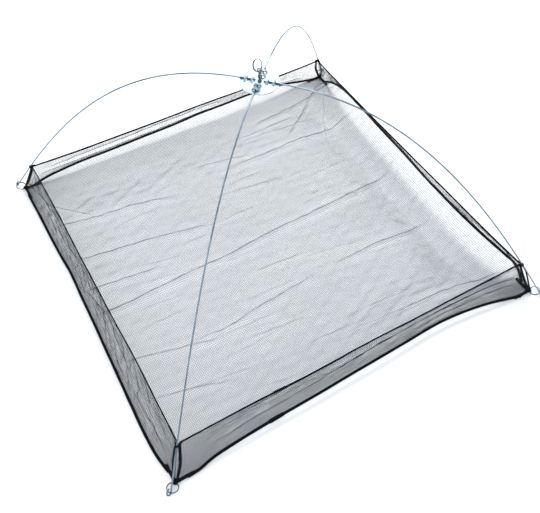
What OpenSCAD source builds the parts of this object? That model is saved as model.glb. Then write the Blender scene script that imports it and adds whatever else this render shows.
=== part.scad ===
// Folding crab trap: a square netting tray hung from four bowed wire ribs that
// spring out of a round hub plate, with a lifting ring over the hub.
// Millimetres, +Z up. The floor hems stand on z = 0 and the sides follow X and Y.
// Corners: front (-X -Y), right (+X -Y), back (+X +Y), left (-X +Y).
// Sides: back_right (+X), back_left (+Y), front_left (-X), front_right (-Y).

/* [Net] */
// Outer width of the net over its floor hems
net_side = 984; // [700:2:1200]
// Outer width of the net over its rim hems
rim_side = 912; // [640:2:1100]
// Height of the rim over the ground
rim_height = 102; // [60:1:160]
// Thickness of the netting panels
net_thickness = 1.4; // [0.8:0.1:3]
// Width of the floor hem
floor_hem_width = 8; // [4:0.5:14]
// Height of the floor hem
floor_hem_height = 5.6; // [3:0.2:10]
// Width of the rim hem
rim_hem_width = 4.4; // [3:0.2:8]
// Height of the rim hem
rim_hem_height = 6; // [4:0.5:12]
// Width of the two tapes that bind each corner
tape_width = 9; // [5:0.5:16]
// Thickness of the corner tapes
tape_thickness = 2.4; // [1.5:0.1:4]
// Clear gap between soft pieces of different bodies
gap = 0.5; // [0.3:0.1:1]

/* [Ribs] */
// Diameter of the rib wire
rib_wire = 3.4; // [2.5:0.1:5]
// Height of the wire's centre at the hub
hub_height = 514; // [400:1:620]
// Distance from the hub's centre to where each rib starts to bend
rib_root = 46; // [38:1:60]
// Distance from the centre to the rib's lower end
rib_foot = 708; // [500:1:860]
// Height of the rib's lower end, where its eye begins
rib_foot_height = 12.5; // [11:0.5:20]
// Length over which the rib leaves the hub level
rib_level_pull = 249; // [150:1:320]
// Length over which the rib's lower part stays straight
rib_foot_pull = 407; // [250:1:480]
// Slope of the rib's lower end below level, degrees
rib_foot_slope = 55; // [45:1:65]
// Rings of points along each rib
rib_steps = 44; // [24:2:60]
// Sides of the rib's cross-section
rib_sides = 10; // [8:2:14]

/* [Rib eyes] */
// Radius of the eye's rounded ends, to the wire's centre
eye_radius = 4.3; // [3.5:0.1:7]
// Length of the eye's straight sides
eye_straight = 7; // [3:0.5:12]
// Turn of the eye about the rib, degrees
eye_turn = -50; // [-180:5:180]

/* [Split rings] */
// Radius of a split ring, to the wire's centre
ring_radius = 12.4; // [9:0.2:18]
// Diameter of the split ring's wire
ring_wire = 2; // [1.4:0.1:3]
// Pitch between the two turns of a split ring
ring_pitch = 1.9; // [1.4:0.1:2.9]
// Tilt of the corner rings, outer edge up, degrees
ring_tilt = 12; // [0:1:25]

/* [Hub] */
// Diameter of the hub plate
plate_diameter = 86; // [70:1:110]
// Thickness of the hub plate
plate_thickness = 1.6; // [1:0.1:3]
// Distances of the raised arches from the hub's centre
arch_places = [16, 30.5]; // [10:0.5:38]
// Width of each arch along the rib
arch_width = 5; // [3:0.5:8]
// Inner radius of the arch's curve
arch_radius = 8.4; // [6:0.1:12]
// Thickness of the arch
arch_thickness = 1.3; // [0.8:0.1:2]
// Clear height under an arch
arch_clear = 4.4; // [4:0.1:8]
// Length of the slot that each arch was raised from
arch_slot = 15; // [10:0.5:20]

/* [Lifting ring] */
// Height of the lifting eye's hole over the plate
lift_eye_height = 27; // [18:1:40]
// Diameter of the lifting eye's stem
lift_stem = 5; // [3:0.5:8]
// Radius of the lifting eye, to the wire's centre
lift_eye_radius = 4.9; // [4:0.1:8]
// Diameter of the lifting eye's wire
lift_eye_wire = 3.2; // [2:0.1:4.5]
// Direction that the lifting eye faces, degrees
lift_facing = 23; // [-180:1:180]
// Lean of the lifting ring from upright, degrees
lift_lean = 25; // [0:1:80]

/* [Hidden] */
$fn = 48;
cut = 1;

// Derived sizes
half_net = net_side / 2;
half_rim = rim_side / 2;
hem_inner = half_net - floor_hem_width;
wall_run = half_net - half_rim;
wall_lean = atan2(wall_run, rim_height);
hem_middle = half_net - floor_hem_width / 2;
rim_middle = half_rim - rim_hem_width / 2;
plate_top = hub_height - rib_wire / 2 + 0.02;
corner_angles = [225, 315, 45, 135];
side_angles = [0, 90, 180, 270];

// How far the soft sides stop short of the corner's middle plane, along the side
slot_half = rib_wire / 2 + 2.2;
side_stop = (slot_half + tape_width) * sqrt(2) + gap;
hem_stop = 30;
tab_reach = 684;

// The split ring's place at a corner: out from the centre, and up
ring_out = rib_foot - 7.4;
ring_up = 8.3;
ring_inward = ring_out - ring_radius * cos(ring_tilt);
ring_inward_up = ring_up - ring_radius * sin(ring_tilt);
tab_hole = 3.2;
tab_width = 10;

// ---- the rib's curve, as [distance from the centre, height] ----

rib_p0 = [rib_root, hub_height];
rib_p1 = [rib_root + rib_level_pull, hub_height];
rib_p3 = [rib_foot, rib_foot_height];
rib_p2 = rib_p3 + rib_foot_pull * [-cos(rib_foot_slope), sin(rib_foot_slope)];

function rib_point(t) =
    pow(1 - t, 3) * rib_p0
    + 3 * pow(1 - t, 2) * t * rib_p1
    + 3 * (1 - t) * t * t * rib_p2
    + pow(t, 3) * rib_p3;

function rib_heading(t) =
    let (d = 3 * pow(1 - t, 2) * (rib_p1 - rib_p0)
        + 6 * (1 - t) * t * (rib_p2 - rib_p1)
        + 3 * t * t * (rib_p3 - rib_p2))
    d / norm(d);

// Stations along the wire, each [place, u, v], with u and v across the wire.
// The cross-section keeps the eye's own turn all along the rib.
function rib_station(t) =
    let (p = rib_point(t), h = rib_heading(t), n = [-h[1], 0, h[0]], y = [0, 1, 0])
    [[p[0], 0, p[1]], cos(eye_turn) * n + sin(eye_turn) * y, sin(eye_turn) * n - cos(eye_turn) * y];

foot_along = [cos(rib_foot_slope), 0, -sin(rib_foot_slope)];
foot_across = rib_station(1)[1];
foot_normal = rib_station(1)[2];
foot = [rib_foot, 0, rib_foot_height];

function eye_station(middle, turn) =
    [middle + eye_radius * (sin(turn) * foot_along - cos(turn) * foot_across),
     cos(turn) * foot_across - sin(turn) * foot_along, foot_normal];

// The wire's end bends round into an oval eye and stops just short of itself
eye_low = foot + eye_straight * foot_along + eye_radius * foot_across;
eye_high = foot + eye_radius * foot_across;
wire_stations = concat(
    [for (k = [0 : rib_steps]) rib_station(k / rib_steps)],
    [for (a = [0 : 18 : 180]) eye_station(eye_low, a)],
    [for (a = [180 : 18 : 270]) eye_station(eye_high, a)]
);

// The rib's distance from the centre at a height near the rim
function rib_out_at(z) =
    lookup(z, [for (k = [0 : 200]) let (p = rib_point(1 - k / 200)) [p[1], p[0]]]);

module at_corner(k) {
    rotate([0, 0, corner_angles[k]]) children();
}

module at_side(k) {
    rotate([0, 0, side_angles[k]]) children();
}

module split_ring_shape() {
    for (side = [-1, 1])
        translate([0, 0, side * ring_pitch / 2])
            rotate_extrude($fn = 64)
                translate([ring_radius, 0])
                    circle(d = ring_wire, $fn = 24);
}

// ---- hub ----

module arch_profile() {
    intersection() {
        translate([0, arch_clear - arch_radius])
            difference() {
                circle(r = arch_radius + arch_thickness, $fn = 64);
                circle(r = arch_radius, $fn = 64);
            }
        translate([-20, -plate_thickness / 2])
            square([40, 20]);
    }
}

module hub_arch(place) {
    translate([place + arch_width / 2, 0, plate_top])
        rotate([90, 0, -90])
            linear_extrude(arch_width)
                arch_profile();
}

module hub_plate() {
    color([0.86, 0.88, 0.9])
    union() {
        difference() {
            translate([0, 0, plate_top - plate_thickness])
                cylinder(d = plate_diameter, h = plate_thickness, $fn = 96);
            translate([0, 0, plate_top - plate_thickness - cut])
                cylinder(d = lift_stem + 0.4, h = plate_thickness + 2 * cut, $fn = 32);
            for (a = corner_angles)
                for (place = arch_places)
                    rotate([0, 0, a])
                        translate([place - arch_width / 2 - 0.4, -arch_slot / 2 + 1.4,
                                   plate_top - plate_thickness - cut])
                            cube([arch_width + 0.8, arch_slot - 2.8, plate_thickness + 2 * cut]);
        }
        for (a = corner_angles)
            for (place = arch_places)
                rotate([0, 0, a]) hub_arch(place);
    }
}

module rib_end() {
    color([0.72, 0.76, 0.8])
    translate([9, 0, hub_height])
        rotate([0, 90, 0])
            cylinder(d = rib_wire, h = rib_root - 9 - rib_wire / 2 - gap, $fn = 32);
}

module rib_end_front() at_corner(0) rib_end();
module rib_end_right() at_corner(1) rib_end();
module rib_end_back() at_corner(2) rib_end();
module rib_end_left() at_corner(3) rib_end();

// ---- lifting eye and ring ----

module lift_eye() {
    color([0.75, 0.78, 0.82])
    rotate([0, 0, lift_facing])
    union() {
        translate([0, 0, plate_top - plate_thickness - 3])
            cylinder(d = 12, h = 2.6, $fn = 32);
        translate([0, 0, plate_top - plate_thickness - 1])
            cylinder(d = lift_stem, h = plate_thickness + 1 + lift_eye_height - lift_eye_radius, $fn = 32);
        translate([0, 0, plate_top + 0.4])
            cylinder(d = 9, h = 2, $fn = 32);
        translate([0, 0, plate_top + lift_eye_height])
            rotate([0, 90, 0])
                rotate_extrude($fn = 48)
                    translate([lift_eye_radius, 0])
                        circle(d = lift_eye_wire, $fn = 24);
    }
}

module lift_ring() {
    color([0.78, 0.8, 0.84])
    translate([0, 0, plate_top + lift_eye_height])
        rotate([0, 0, lift_facing])
            rotate([-lift_lean, 0, 0])
                translate([0, 0, ring_radius])
                    rotate([90, 0, 0])
                        split_ring_shape();
}

// ---- ribs ----

module rib_tube() {
    n = rib_sides;
    last = len(wire_stations) - 1;
    points = [
        for (s = wire_stations)
            for (j = [0 : n - 1])
                s[0] + rib_wire / 2 * (cos(360 * j / n) * s[1] + sin(360 * j / n) * s[2])
    ];
    walls = [
        for (k = [0 : last - 1])
            for (j = [0 : n - 1])
                [k * n + j, k * n + (j + 1) % n, (k + 1) * n + (j + 1) % n, (k + 1) * n + j]
    ];
    polyhedron(
        points = points,
        faces = concat(
            [for (f = walls) [f[0], f[2], f[1]]],
            [for (f = walls) [f[0], f[3], f[2]]],
            [[for (j = [0 : n - 1]) j]],
            [[for (j = [n - 1 : -1 : 0]) last * n + j]]
        ),
        convexity = 6
    );
}

module rib() {
    color([0.72, 0.77, 0.82])
    union() {
        rib_tube();
        translate([rib_root, 0, hub_height])
            sphere(d = rib_wire + 0.6, $fn = 32);
    }
}

module rib_front() at_corner(0) rib();
module rib_right() at_corner(1) rib();
module rib_back() at_corner(2) rib();
module rib_left() at_corner(3) rib();

module split_ring() {
    color([0.8, 0.82, 0.85])
    translate([ring_out, 0, ring_up])
        rotate([0, -ring_tilt, 0])
            split_ring_shape();
}

module split_ring_front() at_corner(0) split_ring();
module split_ring_right() at_corner(1) split_ring();
module split_ring_back() at_corner(2) split_ring();
module split_ring_left() at_corner(3) split_ring();

// ---- soft corner pieces, made in the corner's own frame with X outward ----

rim_corner = half_rim * sqrt(2);
rib_at_rim = rib_out_at(rim_height - 4);

module rim_loop() {
    color([0.07, 0.07, 0.08])
    difference() {
        union() {
            translate([rib_at_rim, 0, rim_height - 4])
                rotate([0, 90 + rib_foot_slope - 2, 0])
                    cylinder(r = rib_wire / 2 + 2.6, h = 9, center = true, $fn = 32);
            translate([rim_corner - 4.8, -3.2, rim_height - 8])
                cube([5.8, 6.4, 8]);
        }
        translate([rib_at_rim, 0, rim_height - 4])
            rotate([0, 90 + rib_foot_slope - 2, 0])
                cylinder(r = rib_wire / 2 + 0.5, h = 40, center = true, $fn = 32);
    }
}

module rim_loop_front() at_corner(0) rim_loop();
module rim_loop_right() at_corner(1) rim_loop();
module rim_loop_back() at_corner(2) rim_loop();
module rim_loop_left() at_corner(3) rim_loop();

// A side panel's outline from one height to another, between two stops along the
// side that follow the corner, laid in the leaning plane of the side
module leaning_panel(z0, z1, inset, stop0, stop1, thickness, both = true) {
    along = 1 / cos(wall_lean);
    x0 = half_net - wall_run * z0 / rim_height;
    x1 = half_net - wall_run * z1 / rim_height;
    translate([half_net - inset, 0, 0])
        rotate([0, -wall_lean, 0])
            translate([-thickness, 0, 0])
                rotate([90, 0, 90])
                    linear_extrude(thickness)
                        polygon([
                            [both ? -(x0 - stop1) : x0 - stop0, z0 * along],
                            [x0 - stop1, z0 * along],
                            [x1 - stop1, z1 * along],
                            [both ? -(x1 - stop1) : x1 - stop0, z1 * along]
                        ]);
}

tape_in = slot_half * sqrt(2);
tape_out = (slot_half + tape_width) * sqrt(2);
tape_inset = 1;
tape_foot = 12;

module corner_tape_half() {
    leaning_panel(tape_foot, rim_height - 1, tape_inset, tape_out, tape_in,
                  tape_thickness, both = false);
}

module corner_tapes() {
    color([0.06, 0.06, 0.07])
    difference() {
        union() {
            rotate([0, 0, -45]) corner_tape_half();
            mirror([0, 1, 0]) rotate([0, 0, -45]) corner_tape_half();
            translate([rim_corner - 10, -slot_half - 2, rim_height - 6])
                cube([5, 2 * slot_half + 4, 4]);
        }
        translate([rib_at_rim, 0, rim_height - 4])
            rotate([0, 90 + rib_foot_slope - 2, 0])
                cylinder(r = rib_wire / 2 + 2.7, h = 9.2, center = true, $fn = 32);
        translate([rim_corner - 4.9, -3.3, rim_height - 8.1])
            cube([6, 6.6, 8.2]);
    }
}

module corner_tapes_front() at_corner(0) corner_tapes();
module corner_tapes_right() at_corner(1) corner_tapes();
module corner_tapes_back() at_corner(2) corner_tapes();
module corner_tapes_left() at_corner(3) corner_tapes();

// The tab closes the floor's corner and loops round the split ring
stop_y = half_net - hem_stop + 0.4;
tab_outer_r = (half_net + stop_y) / sqrt(2);
tab_outer_y = (half_net - stop_y) / sqrt(2);
tab_inner_r = (hem_inner + stop_y) / sqrt(2);
tab_inner_y = (hem_inner - stop_y) / sqrt(2);
tab_nose_y = half_net * sqrt(2) - tab_reach;
tab_back = tab_inner_r - 5;

module corner_tab() {
    color([0.06, 0.06, 0.07])
    difference() {
        union() {
            linear_extrude(floor_hem_height)
                polygon([
                    [tab_back, -8], [tab_inner_r, -tab_inner_y], [tab_outer_r, -tab_outer_y],
                    [tab_reach, -tab_nose_y], [tab_reach, tab_nose_y],
                    [tab_outer_r, tab_outer_y], [tab_inner_r, tab_inner_y], [tab_back, 8]
                ]);
            translate([ring_inward + 0.5, tab_width / 2, ring_inward_up + 0.2])
                rotate([90, 0, 0])
                    cylinder(r = tab_hole + 1.5, h = tab_width, $fn = 48);
            translate([tab_reach - 3, -tab_width / 2, 1])
                cube([6, tab_width, floor_hem_height + 2]);
        }
        translate([ring_inward + 0.5, 30, ring_inward_up + 0.2])
            rotate([90, 0, 0])
                cylinder(r = tab_hole, h = 60, $fn = 48);
    }
}

module corner_tab_front() at_corner(0) corner_tab();
module corner_tab_right() at_corner(1) corner_tab();
module corner_tab_back() at_corner(2) corner_tab();
module corner_tab_left() at_corner(3) corner_tab();

// ---- soft sides, made for the +X side ----

module side_net() {
    color([0.2, 0.21, 0.23, 0.6])
    leaning_panel(floor_hem_height + 2 * gap, rim_height - rim_hem_height - gap, tape_inset + 0.5, 0,
                  side_stop, net_thickness);
}

module side_net_back_right() at_side(0) side_net();
module side_net_back_left() at_side(1) side_net();
module side_net_front_left() at_side(2) side_net();
module side_net_front_right() at_side(3) side_net();

module rounded_bar(width, height, round, length) {
    rotate([90, 0, 0])
        linear_extrude(length, center = true)
            bar_profile(width, height, round);
}

module bar_profile(width, height, round) {
    translate([-width / 2, 0])
        square([width, height - round]);
    translate([-width / 2 + round, height - round - 0.1])
        square([width - 2 * round, round + 0.1]);
    for (side = [-1, 1])
        translate([side * (width / 2 - round), height - round])
            circle(r = round, $fn = 32);
}

module rim_hem() {
    color([0.05, 0.05, 0.06])
    translate([rim_middle, 0, rim_height - rim_hem_height])
        rounded_bar(rim_hem_width, rim_hem_height, rim_hem_width / 2 - 0.4,
                    2 * (half_rim - side_stop));
}

module rim_hem_back_right() at_side(0) rim_hem();
module rim_hem_back_left() at_side(1) rim_hem();
module rim_hem_front_left() at_side(2) rim_hem();
module rim_hem_front_right() at_side(3) rim_hem();

module floor_hem() {
    color([0.05, 0.05, 0.06])
    translate([hem_middle, 0, 0])
        rounded_bar(floor_hem_width, floor_hem_height, 2.4, 2 * (half_net - hem_stop));
}

module floor_hem_back_right() at_side(0) floor_hem();
module floor_hem_back_left() at_side(1) floor_hem();
module floor_hem_front_left() at_side(2) floor_hem();
module floor_hem_front_right() at_side(3) floor_hem();

// Each floor panel is the quarter of the floor between the centre and one side
module floor_net() {
    edge = hem_inner - gap;
    tip = (tab_back - gap) / sqrt(2);
    bend_x = (tab_back + 8) / sqrt(2) - gap;
    bend_y = (tab_back - 8) / sqrt(2) - gap;
    end_y = half_net - hem_stop - 0.4;
    color([0.25, 0.26, 0.28, 0.6])
    linear_extrude(net_thickness)
        polygon([
            [gap, 0], [tip, tip - gap], [bend_x, bend_y], [edge, end_y],
            [edge, -end_y], [bend_x, -bend_y], [tip, gap - tip]
        ]);
}

module floor_net_back_right() at_side(0) floor_net();
module floor_net_back_left() at_side(1) floor_net();
module floor_net_front_left() at_side(2) floor_net();
module floor_net_front_right() at_side(3) floor_net();

hub_plate();
lift_eye();
lift_ring();
rib_end_front();
rib_end_right();
rib_end_back();
rib_end_left();
rib_front();
rib_right();
rib_back();
rib_left();
split_ring_front();
split_ring_right();
split_ring_back();
split_ring_left();
rim_loop_front();
rim_loop_right();
rim_loop_back();
rim_loop_left();
corner_tapes_front();
corner_tapes_right();
corner_tapes_back();
corner_tapes_left();
corner_tab_front();
corner_tab_right();
corner_tab_back();
corner_tab_left();
side_net_back_right();
side_net_back_left();
side_net_front_left();
side_net_front_right();
rim_hem_back_right();
rim_hem_back_left();
rim_hem_front_left();
rim_hem_front_right();
floor_hem_back_right();
floor_hem_back_left();
floor_hem_front_left();
floor_hem_front_right();
floor_net_back_right();
floor_net_back_left();
floor_net_front_left();
floor_net_front_right();
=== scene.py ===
"""Looks of the folding crab trap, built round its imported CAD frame. Metres, +Z up."""

import math

import bpy
import numpy as np
from mathutils import Matrix, Vector


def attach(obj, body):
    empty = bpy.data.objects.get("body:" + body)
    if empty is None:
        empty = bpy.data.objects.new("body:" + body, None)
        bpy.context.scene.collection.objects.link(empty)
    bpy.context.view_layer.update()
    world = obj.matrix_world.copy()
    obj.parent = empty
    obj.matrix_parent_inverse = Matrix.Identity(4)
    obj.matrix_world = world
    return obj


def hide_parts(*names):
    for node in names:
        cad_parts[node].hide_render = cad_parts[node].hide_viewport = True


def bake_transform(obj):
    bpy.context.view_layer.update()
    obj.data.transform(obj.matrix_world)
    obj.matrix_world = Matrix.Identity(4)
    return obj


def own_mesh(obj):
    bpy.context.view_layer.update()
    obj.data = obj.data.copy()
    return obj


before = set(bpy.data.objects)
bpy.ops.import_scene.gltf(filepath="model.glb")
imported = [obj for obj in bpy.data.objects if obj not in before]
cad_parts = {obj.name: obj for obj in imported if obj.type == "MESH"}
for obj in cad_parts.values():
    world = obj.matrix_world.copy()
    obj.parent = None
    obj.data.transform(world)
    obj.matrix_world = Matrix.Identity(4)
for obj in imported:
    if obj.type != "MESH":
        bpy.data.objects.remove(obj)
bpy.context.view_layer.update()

MM = 0.001

# Corners and sides by name, with the direction each faces, in degrees about Z
CORNERS = {"front": 225, "right": 315, "back": 45, "left": 135}
SIDES = {"back_right": 0, "back_left": 90, "front_left": 180, "front_right": 270}

# ---- sizes that repeat the CAD's ----

half_net = 492 * MM
half_rim = 456 * MM
rim_height = 102 * MM
floor_hem_width = 8 * MM
floor_hem_height = 5.6 * MM
rim_hem_height = 6 * MM
hem_inner = half_net - floor_hem_width
hub_height = 514 * MM
plate_top = hub_height - 1.68 * MM
rib_wire = 3.4 * MM
rib_inner_end = 9 * MM
rib_root = 46 * MM
rib_foot = 708 * MM
rib_foot_height = 12.5 * MM
rib_level_pull = 249 * MM
rib_foot_pull = 407 * MM
rib_foot_slope = math.radians(55)
eye_radius = 4.3 * MM
eye_straight = 7 * MM
eye_turn = math.radians(-50)
ring_radius = 12.4 * MM
ring_wire = 2 * MM
ring_pitch = 1.9 * MM
ring_tilt = math.radians(12)
ring_out = rib_foot - 7.4 * MM
ring_up = 8.3 * MM
lift_eye_height = 27 * MM
lift_eye_radius = 4.9 * MM
lift_facing = math.radians(23)
lift_lean = math.radians(25)

# ---- sizes of the soft parts ----

floor_pitch = 4 * MM
floor_twine = (0.52 * MM, 0.44 * MM)
wall_pitch = 5 * MM
wall_twine = (0.62 * MM, 0.35 * MM)
floor_clear = 0.8 * MM
hem_end = 458 * MM
tape_width = 7 * MM
tape_thickness = 1.5 * MM


def direction(degrees):
    return np.array([math.cos(math.radians(degrees)), math.sin(math.radians(degrees)), 0.0])


def smooth(t):
    t = np.clip(t, 0.0, 1.0)
    return t * t * (3 - 2 * t)


def bump_wave(t, seed, count=5, lowest=1.0, highest=6.0):
    """A smooth random wave of about unit height along t, the same for each seed."""
    draw = np.random.RandomState(seed)
    total = np.zeros_like(np.asarray(t, dtype=float))
    for _ in range(count):
        rate = draw.uniform(lowest, highest)
        total += draw.uniform(0.4, 1.0) * np.sin(rate * t + draw.uniform(0, 2 * math.pi))
    return total / math.sqrt(count)


def cloud(x, y, seed, wavelength, count=7):
    """A smooth random field over x, y of about unit height, the same for each seed."""
    draw = np.random.RandomState(seed)
    total = np.zeros_like(x)
    for _ in range(count):
        heading = draw.uniform(0, math.pi)
        rate = 2 * math.pi / (wavelength * draw.uniform(0.6, 1.7))
        phase = draw.uniform(0, 2 * math.pi)
        total += np.sin(rate * (x * math.cos(heading) + y * math.sin(heading)) + phase)
    return total / math.sqrt(count / 2)


# ---- meshes ----


def add_mesh(name, points, faces, uvs=None, flat=False):
    """A new object from points, quads and, where given, the UV of each corner of each quad."""
    points = np.asarray(points, dtype=np.float32)
    faces = np.asarray(faces, dtype=np.int32)
    mesh = bpy.data.meshes.new(name)
    mesh.vertices.add(len(points))
    mesh.vertices.foreach_set("co", points.ravel())
    mesh.loops.add(faces.size)
    mesh.loops.foreach_set("vertex_index", faces.ravel())
    mesh.polygons.add(len(faces))
    mesh.polygons.foreach_set("loop_start", np.arange(0, faces.size, faces.shape[1], dtype=np.int32))
    if uvs is not None:
        layer = mesh.uv_layers.new(name="lay")
        layer.data.foreach_set("uv", np.asarray(uvs, dtype=np.float32).ravel())
    mesh.polygons.foreach_set("use_smooth", np.full(len(faces), not flat))
    mesh.update(calc_edges=True)
    mesh.validate()
    obj = bpy.data.objects.new(name, mesh)
    bpy.context.scene.collection.objects.link(obj)
    return obj


class Sweep:
    """Collects tubes and strips swept along paths, to become one mesh."""

    def __init__(self):
        self.points, self.faces, self.uvs, self.count = [], [], [], 0

    def add(self, path, section, up, along0=0.0, closed=False):
        """Sweeps section, points [across, up] round a loop, along path.

        up is one vector or one for each point. U runs along the path and V round the section, in metres.
        """
        path = np.asarray(path, dtype=float)
        n = len(path)
        if closed:
            tangent = np.roll(path, -1, axis=0) - np.roll(path, 1, axis=0)
        else:
            tangent = np.gradient(path, axis=0)
        tangent /= np.linalg.norm(tangent, axis=1)[:, None]
        up = np.broadcast_to(np.asarray(up, dtype=float), path.shape)
        across = np.cross(tangent, up)
        across /= np.linalg.norm(across, axis=1)[:, None]
        over = np.cross(across, tangent)
        section = np.asarray(section, dtype=float)
        if section.ndim == 2:
            section = np.broadcast_to(section, (n,) + section.shape)
        m = section.shape[1]
        rings = (path[:, None] + section[:, :, :1] * across[:, None] + section[:, :, 1:] * over[:, None])
        start = self.count
        self.points.append(rings.reshape(-1, 3))
        self.count += n * m
        spans = n if closed else n - 1
        k = np.arange(spans)[:, None]
        j = np.arange(m)[None, :]
        k2 = (k + 1) % n
        j2 = (j + 1) % m
        quads = np.stack([k * m + j, k * m + j2, k2 * m + j2, k2 * m + j], axis=-1)
        self.faces.append(start + quads.reshape(-1, 4))
        steps = np.linalg.norm(np.diff(path, axis=0, append=path[:1]), axis=1)
        along = along0 + np.concatenate([[0], np.cumsum(steps)])[:spans + 1]
        edge = np.linalg.norm(np.roll(section[0], -1, axis=0) - section[0], axis=1)
        around = np.concatenate([[0], np.cumsum(edge)])
        u0 = np.broadcast_to(along[:spans, None], (spans, m))
        u1 = np.broadcast_to(along[1:spans + 1, None], (spans, m))
        v0 = np.broadcast_to(around[None, :m], (spans, m))
        v1 = np.broadcast_to(around[None, 1:m + 1], (spans, m))
        self.uvs.append(np.stack([u0, v0, u0, v1, u1, v1, u1, v0], axis=-1).reshape(-1, 8))
        if not closed:
            self.cap(path[0], start, m, True)
            self.cap(path[-1], start + (n - 1) * m, m, False)

    def cap(self, middle, first, m, at_start):
        """Closes an end with quads round its middle."""
        self.points.append(np.asarray(middle, dtype=float)[None])
        hub = self.count
        self.count += 1
        quads = []
        for j in range(0, m, 2):
            ring = [first + j, first + (j + 1) % m, first + (j + 2) % m]
            if at_start:
                ring.reverse()
            quads.append(ring + [hub])
        self.faces.append(np.array(quads))
        self.uvs.append(np.zeros((len(quads), 8)))

    def build(self, name):
        return add_mesh(name, np.concatenate(self.points), np.concatenate(self.faces),
                        np.concatenate(self.uvs))


def round_section(width, height=None, sides=12):
    height = width if height is None else height
    a = np.arange(sides) * 2 * math.pi / sides
    return np.stack([width / 2 * np.cos(a), height / 2 * np.sin(a)], axis=1)


def tape_section(width, thickness, sides=12, squareness=0.35):
    """A flat strip's section with rounded edges."""
    a = np.arange(sides) * 2 * math.pi / sides
    c, s = np.cos(a), np.sin(a)
    return np.stack([width / 2 * np.sign(c) * np.abs(c) ** squareness,
                     thickness / 2 * np.sign(s) * np.abs(s) ** squareness], axis=1)


def twine_section(twine):
    w, t = twine[0] / 2, twine[1] / 2
    return np.array([[-w, -t], [w, -t], [w, t], [-w, t]])


# ---- materials ----


class Material:
    """A Principled material with short names for the nodes that it is made of."""

    def __init__(self, name, **sockets):
        self.material = bpy.data.materials.new(name)
        self.material.use_nodes = True
        self.nodes = self.material.node_tree.nodes
        self.links = self.material.node_tree.links
        self.shader = self.nodes["Principled BSDF"]
        for key, value in sockets.items():
            self.shader.inputs[key.replace("_", " ")].default_value = value
        self.place = self.nodes.new("ShaderNodeTexCoord").outputs["Object"]
        uv = self.nodes.new("ShaderNodeUVMap")
        uv.uv_map = "lay"
        self.lay = uv.outputs["UV"]

    def add(self, kind, inputs=None, **settings):
        node = self.nodes.new(kind)
        for key, value in settings.items():
            setattr(node, key, value)
        for key, value in (inputs or {}).items():
            if isinstance(value, bpy.types.NodeSocket):
                self.links.new(value, node.inputs[key])
            else:
                node.inputs[key].default_value = value
        return node

    def noise(self, scale, detail=4.0, vector=None, roughness=0.55):
        node = self.add("ShaderNodeTexNoise", {"Vector": vector or self.place, "Scale": scale,
                                               "Detail": detail, "Roughness": roughness})
        return node.outputs["Fac"]

    def stretched(self, vector, x, y, z=1.0):
        node = self.add("ShaderNodeMapping", {"Vector": vector, "Scale": (x, y, z)})
        return node.outputs["Vector"]

    def ramp(self, factor, *stops):
        node = self.add("ShaderNodeValToRGB", {"Fac": factor})
        elements = node.color_ramp.elements
        while len(elements) < len(stops):
            elements.new(0.5)
        for element, (position, colour) in zip(elements, stops):
            element.position = position
            element.color = tuple(colour) + (1.0,)
        return node.outputs["Color"]

    def math(self, operation, a, b=0.0):
        return self.add("ShaderNodeMath", {0: a, 1: b}, operation=operation).outputs["Value"]

    def span(self, factor, low, high, out_low, out_high):
        node = self.add("ShaderNodeMapRange", {"Value": factor, "From Min": low, "From Max": high,
                                               "To Min": out_low, "To Max": out_high})
        return node.outputs["Result"]

    def mix(self, factor, a, b):
        node = self.add("ShaderNodeMix", data_type="RGBA")
        for socket, value in zip((node.inputs[0], node.inputs[6], node.inputs[7]), (factor, a, b)):
            if isinstance(value, bpy.types.NodeSocket):
                self.links.new(value, socket)
            else:
                socket.default_value = value if isinstance(value, float) else tuple(value) + (1.0,)
        return node.outputs[2]

    def bump(self, height, strength, distance):
        node = self.add("ShaderNodeBump", {"Height": height, "Strength": strength, "Distance": distance})
        self.links.new(node.outputs["Normal"], self.shader.inputs["Normal"])

    def colour(self, socket):
        self.links.new(socket, self.shader.inputs["Base Color"])

    def roughness(self, socket):
        self.links.new(socket, self.shader.inputs["Roughness"])


def wire_material():
    """Drawn spring wire: lengthwise drawing lines, cloudy zinc, small dull spots, and painted shade where it
    runs across the hub plate.
    """
    m = Material("spring_wire_steel", Metallic=1.0)
    lines = m.noise(1.0, 3.0, m.stretched(m.lay, 60, 6000))
    blotches = m.noise(28.0, 5.0)
    spots = m.noise(420.0, 2.0)
    tone = m.mix(m.span(blotches, 0.35, 0.7, 0.0, 1.0), (0.12, 0.18, 0.23), (0.27, 0.35, 0.42))
    tone = m.mix(m.span(spots, 0.6, 0.75, 0.0, 0.5), tone, (0.05, 0.07, 0.09))
    # Painted shade: the wire is painted dark teal within 42 to 46 mm of the centre, where it runs under the
    # hub plate's arches.
    at = m.add("ShaderNodeSeparateXYZ", {"Vector": m.place})
    painted_shade_radius = m.math("SQRT", m.math("ADD", m.math("POWER", at.outputs["X"], 2.0),
                                      m.math("POWER", at.outputs["Y"], 2.0)))
    tone = m.mix(m.span(painted_shade_radius, 42 * MM, 46 * MM, 1.0, 0.0), tone, (0.02, 0.07, 0.10))
    m.colour(tone)
    m.roughness(m.span(m.math("ADD", lines, spots), 0.7, 1.3, 0.22, 0.46))
    m.bump(lines, 0.25, 0.0002)
    return m.material


def ring_material():
    """Bright nickel plating with fine scratches and duller patches."""
    m = Material("nickel_plated_ring", Metallic=1.0)
    scratches = m.noise(1.0, 4.0, m.stretched(m.lay, 300, 4000))
    patches = m.noise(160.0, 4.0)
    m.colour(m.mix(m.span(patches, 0.4, 0.65, 0.0, 1.0), (0.045, 0.07, 0.10), (0.13, 0.17, 0.21)))
    m.roughness(m.span(m.math("ADD", scratches, patches), 0.7, 1.3, 0.22, 0.42))
    m.bump(scratches, 0.2, 0.0001)
    return m.material


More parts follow.
